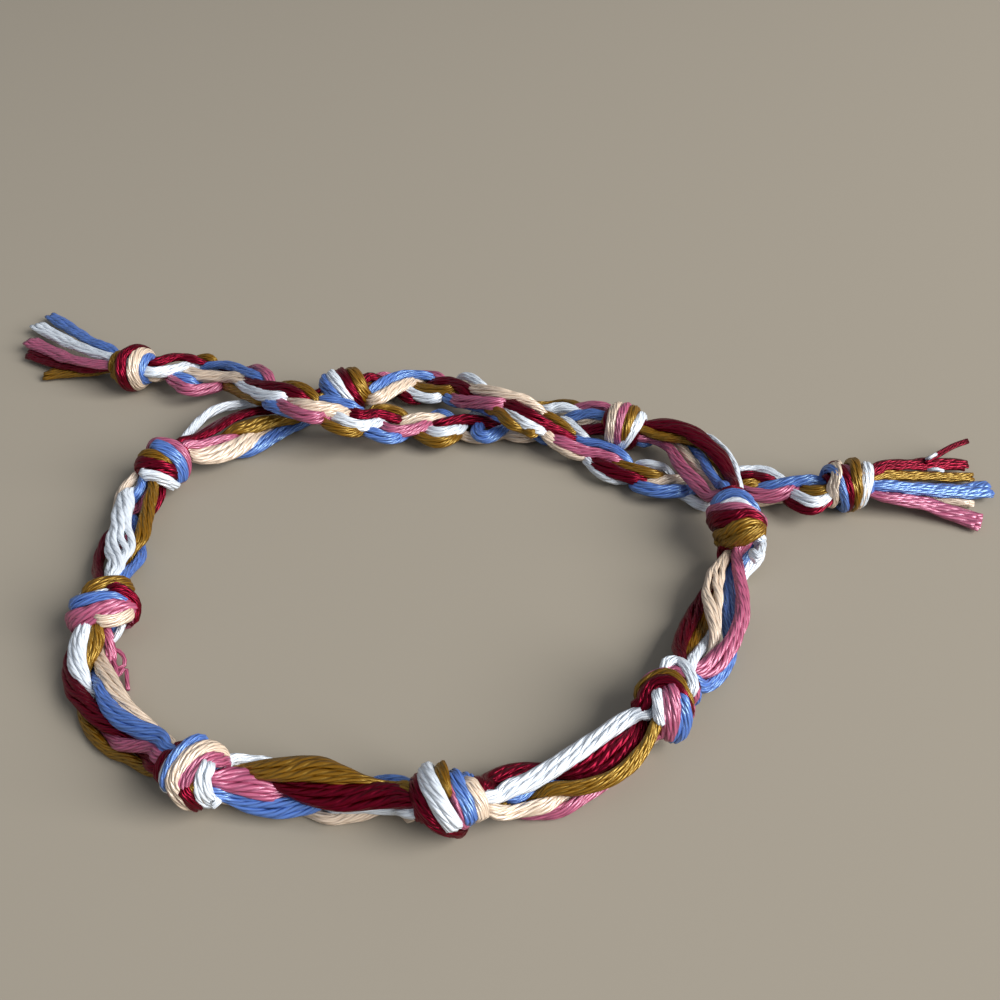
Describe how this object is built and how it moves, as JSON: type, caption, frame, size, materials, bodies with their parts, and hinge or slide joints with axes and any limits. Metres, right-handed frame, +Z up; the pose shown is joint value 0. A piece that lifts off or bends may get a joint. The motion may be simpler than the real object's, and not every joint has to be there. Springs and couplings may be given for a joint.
{
  "type": "woven bracelet",
  "caption": "Friendship bracelet of coloured cotton strands gathered at intervals by knots, with braided ties that cross to close the loop and end in knotted tassels.",
  "frame": {"origin": "middle of the bounding box, on the surface that the bracelet lies on", "axes": "+X to the right along the two ties, +Y away from the viewer, +Z up from the surface"},
  "size_m": [0.1058, 0.0728, 0.0062],
  "materials": {
    "white_thread": "soft sheen of stranded cotton",
    "peach_thread": "soft sheen of stranded cotton",
    "burgundy_thread": "soft sheen of stranded cotton",
    "gold_thread": "soft sheen of stranded cotton",
    "blue_thread": "soft sheen of stranded cotton",
    "pink_thread": "soft sheen of stranded cotton"
  },
  "bodies": {
    "root": {"knot_1": "blue_thread", "knot_2": "pink_thread", "knot_3": "burgundy_thread", "knot_4": "peach_thread", "knot_5": "white_thread", "knot_6": "burgundy_thread", "knot_7": "gold_thread", "knot_8": "white_thread", "strands_1": "white_thread", "strands_2": "white_thread", "strands_3": "blue_thread", "strands_4": "gold_thread", "strands_5": "white_thread", "strands_6": "pink_thread", "strands_7": "burgundy_thread", "braid_left": "peach_thread", "braid_right": "burgundy_thread", "end_knot_left": "peach_thread", "end_knot_right": "gold_thread", "tassel_left": "white_thread", "tassel_right": "blue_thread"}
  },
  "joints": []
}
